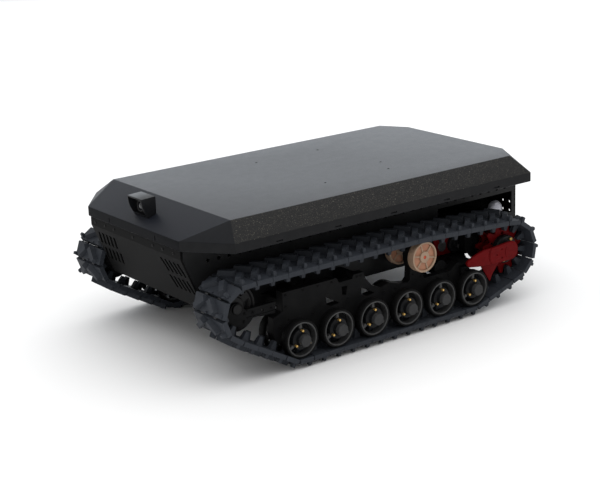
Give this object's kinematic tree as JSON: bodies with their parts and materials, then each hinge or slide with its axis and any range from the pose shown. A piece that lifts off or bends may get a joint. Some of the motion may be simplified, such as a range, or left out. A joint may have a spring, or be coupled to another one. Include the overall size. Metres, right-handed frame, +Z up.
{
  "type": "tracked robot chassis",
  "caption": "Low tracked robot chassis: armoured deck cover with front camera, hull, and on each side a linked track on road wheels, idler, return roller and toothed drive sprocket.",
  "frame": {"origin": "centre of the footprint on the ground", "axes": "+X to the vehicle's front along its length, +Y to its left, +Z up"},
  "size_m": [1.6964, 1.116, 0.6298],
  "materials": {
    "cover_paint": "textured matte paint",
    "camera_shell": "matte",
    "lens_glass": "gloss",
    "hull_paint": "satin",
    "track_rubber": "matte",
    "frame_paint": "satin",
    "idler_black": "satin",
    "roller_polymer": "satin",
    "gearbox_metal": "satin",
    "motor_silver": "brushed",
    "drive_red": "satin",
    "hub_teal": "satin",
    "arm_red": "satin",
    "panel_paint": "satin",
    "battery_case": "matte",
    "controller_case": "satin",
    "wheel_rim": "satin",
    "wheel_tyre": "matte"
  },
  "bodies": {
    "chassis": {"hull_floor": "hull_paint", "front_panel": "panel_paint", "rear_panel": "panel_paint", "deck_frame": "frame_paint", "battery_box": "battery_case", "controller_box": "controller_case", "hull_side_left": "hull_paint", "track_left": "track_rubber", "side_beam_left": "frame_paint", "arm_bracket_left": "frame_paint", "roller_post_left": "frame_paint", "drive_gearbox_left": "gearbox_metal", "drive_motor_left": "motor_silver", "sprocket_arm_left": "arm_red", "hull_side_right": "hull_paint", "track_right": "track_rubber", "side_beam_right": "frame_paint", "arm_bracket_right": "frame_paint", "roller_post_right": "frame_paint", "drive_gearbox_right": "gearbox_metal", "drive_motor_right": "motor_silver", "sprocket_arm_right": "arm_red"},
    "cover": {"top_cover": "cover_paint", "camera_housing": "camera_shell", "camera_lens": "lens_glass"},
    "sprocket_left": {"sprocket_left": "drive_red", "sprocket_hub_left": "hub_teal"},
    "road_wheel_L1": {"road_wheel_L1": "wheel_rim", "road_tyre_L1": "wheel_tyre"},
    "road_wheel_L2": {"road_wheel_L2": "wheel_rim", "road_tyre_L2": "wheel_tyre"},
    "road_wheel_L3": {"road_wheel_L3": "wheel_rim", "road_tyre_L3": "wheel_tyre"},
    "road_wheel_L4": {"road_wheel_L4": "wheel_rim", "road_tyre_L4": "wheel_tyre"},
    "road_wheel_L5": {"road_wheel_L5": "wheel_rim", "road_tyre_L5": "wheel_tyre"},
    "road_wheel_L6": {"road_wheel_L6": "wheel_rim", "road_tyre_L6": "wheel_tyre"},
    "return_roller_left": {"return_roller_left": "roller_polymer"},
    "tensioner_left": {"tensioner_left": "frame_paint"},
    "idler_left": {"idler_left": "idler_black"},
    "sprocket_right": {"sprocket_right": "drive_red", "sprocket_hub_right": "hub_teal"},
    "road_wheel_R1": {"road_wheel_R1": "wheel_rim", "road_tyre_R1": "wheel_tyre"},
    "road_wheel_R2": {"road_wheel_R2": "wheel_rim", "road_tyre_R2": "wheel_tyre"},
    "road_wheel_R3": {"road_wheel_R3": "wheel_rim", "road_tyre_R3": "wheel_tyre"},
    "road_wheel_R4": {"road_wheel_R4": "wheel_rim", "road_tyre_R4": "wheel_tyre"},
    "road_wheel_R5": {"road_wheel_R5": "wheel_rim", "road_tyre_R5": "wheel_tyre"},
    "road_wheel_R6": {"road_wheel_R6": "wheel_rim", "road_tyre_R6": "wheel_tyre"},
    "return_roller_right": {"return_roller_right": "roller_polymer"},
    "tensioner_right": {"tensioner_right": "frame_paint"},
    "idler_right": {"idler_right": "idler_black"}
  },
  "joints": [
    {"name": "cover_lift", "type": "slide", "parent": "chassis", "child": "cover", "axis": [0, 0, 1], "range_m": [0, 0.25]},
    {"name": "sprocket_left_spin", "type": "hinge", "parent": "chassis", "child": "sprocket_left", "pos_m": [-0.6282, 0.4425, 0.2263], "axis": [0, 1, 0], "continuous": true},
    {"name": "road_wheel_L1_spin", "type": "hinge", "parent": "chassis", "child": "road_wheel_L1", "pos_m": [0.4584, 0.4425, 0.1133], "axis": [0, 1, 0], "continuous": true},
    {"name": "road_wheel_L2_spin", "type": "hinge", "parent": "chassis", "child": "road_wheel_L2", "pos_m": [0.28414, 0.4425, 0.1133], "axis": [0, 1, 0], "continuous": true},
    {"name": "road_wheel_L3_spin", "type": "hinge", "parent": "chassis", "child": "road_wheel_L3", "pos_m": [0.10988, 0.4425, 0.1133], "axis": [0, 1, 0], "continuous": true},
    {"name": "road_wheel_L4_spin", "type": "hinge", "parent": "chassis", "child": "road_wheel_L4", "pos_m": [-0.06438, 0.4425, 0.1133], "axis": [0, 1, 0], "continuous": true},
    {"name": "road_wheel_L5_spin", "type": "hinge", "parent": "chassis", "child": "road_wheel_L5", "pos_m": [-0.23864, 0.4425, 0.1133], "axis": [0, 1, 0], "continuous": true},
    {"name": "road_wheel_L6_spin", "type": "hinge", "parent": "chassis", "child": "road_wheel_L6", "pos_m": [-0.4129, 0.4425, 0.1133], "axis": [0, 1, 0], "continuous": true},
    {"name": "return_roller_left_spin", "type": "hinge", "parent": "chassis", "child": "return_roller_left", "pos_m": [-0.1502, 0.4425, 0.3023], "axis": [0, 1, 0], "continuous": true},
    {"name": "tensioner_left_slide", "type": "slide", "parent": "chassis", "child": "tensioner_left", "axis": [1, 0, 0], "range_m": [-0.015, 0]},
    {"name": "idler_left_spin", "type": "hinge", "parent": "tensioner_left", "child": "idler_left", "pos_m": [0.69876, 0.434, 0.2713], "axis": [0, 1, 0], "continuous": true},
    {"name": "sprocket_right_spin", "type": "hinge", "parent": "chassis", "child": "sprocket_right", "pos_m": [-0.6282, -0.4425, 0.2263], "axis": [0, 1, 0], "continuous": true},
    {"name": "road_wheel_R1_spin", "type": "hinge", "parent": "chassis", "child": "road_wheel_R1", "pos_m": [0.4584, -0.4425, 0.1133], "axis": [0, 1, 0], "continuous": true},
    {"name": "road_wheel_R2_spin", "type": "hinge", "parent": "chassis", "child": "road_wheel_R2", "pos_m": [0.28414, -0.4425, 0.1133], "axis": [0, 1, 0], "continuous": true},
    {"name": "road_wheel_R3_spin", "type": "hinge", "parent": "chassis", "child": "road_wheel_R3", "pos_m": [0.10988, -0.4425, 0.1133], "axis": [0, 1, 0], "continuous": true},
    {"name": "road_wheel_R4_spin", "type": "hinge", "parent": "chassis", "child": "road_wheel_R4", "pos_m": [-0.06438, -0.4425, 0.1133], "axis": [0, 1, 0], "continuous": true},
    {"name": "road_wheel_R5_spin", "type": "hinge", "parent": "chassis", "child": "road_wheel_R5", "pos_m": [-0.23864, -0.4425, 0.1133], "axis": [0, 1, 0], "continuous": true},
    {"name": "road_wheel_R6_spin", "type": "hinge", "parent": "chassis", "child": "road_wheel_R6", "pos_m": [-0.4129, -0.4425, 0.1133], "axis": [0, 1, 0], "continuous": true},
    {"name": "return_roller_right_spin", "type": "hinge", "parent": "chassis", "child": "return_roller_right", "pos_m": [-0.1502, -0.4425, 0.3023], "axis": [0, 1, 0], "continuous": true},
    {"name": "tensioner_right_slide", "type": "slide", "parent": "chassis", "child": "tensioner_right", "axis": [1, 0, 0], "range_m": [-0.015, 0]},
    {"name": "idler_right_spin", "type": "hinge", "parent": "tensioner_right", "child": "idler_right", "pos_m": [0.69876, -0.434, 0.2713], "axis": [0, 1, 0], "continuous": true}
  ],
  "couplings": [
    {"joint": "road_wheel_L1_spin", "follows": "sprocket_left_spin", "ratio": 1.6273},
    {"joint": "road_wheel_L2_spin", "follows": "sprocket_left_spin", "ratio": 1.6273},
    {"joint": "road_wheel_L3_spin", "follows": "sprocket_left_spin", "ratio": 1.6273},
    {"joint": "road_wheel_L4_spin", "follows": "sprocket_left_spin", "ratio": 1.6273},
    {"joint": "road_wheel_L5_spin", "follows": "sprocket_left_spin", "ratio": 1.6273},
    {"joint": "road_wheel_L6_spin", "follows": "sprocket_left_spin", "ratio": 1.6273},
    {"joint": "return_roller_left_spin", "follows": "sprocket_left_spin", "ratio": 1.9685},
    {"joint": "idler_left_spin", "follows": "sprocket_left_spin", "ratio": 1.1514},
    {"joint": "road_wheel_R1_spin", "follows": "sprocket_right_spin", "ratio": 1.6273},
    {"joint": "road_wheel_R2_spin", "follows": "sprocket_right_spin", "ratio": 1.6273},
    {"joint": "road_wheel_R3_spin", "follows": "sprocket_right_spin", "ratio": 1.6273},
    {"joint": "road_wheel_R4_spin", "follows": "sprocket_right_spin", "ratio": 1.6273},
    {"joint": "road_wheel_R5_spin", "follows": "sprocket_right_spin", "ratio": 1.6273},
    {"joint": "road_wheel_R6_spin", "follows": "sprocket_right_spin", "ratio": 1.6273},
    {"joint": "return_roller_right_spin", "follows": "sprocket_right_spin", "ratio": 1.9685},
    {"joint": "idler_right_spin", "follows": "sprocket_right_spin", "ratio": 1.1514}
  ]
}
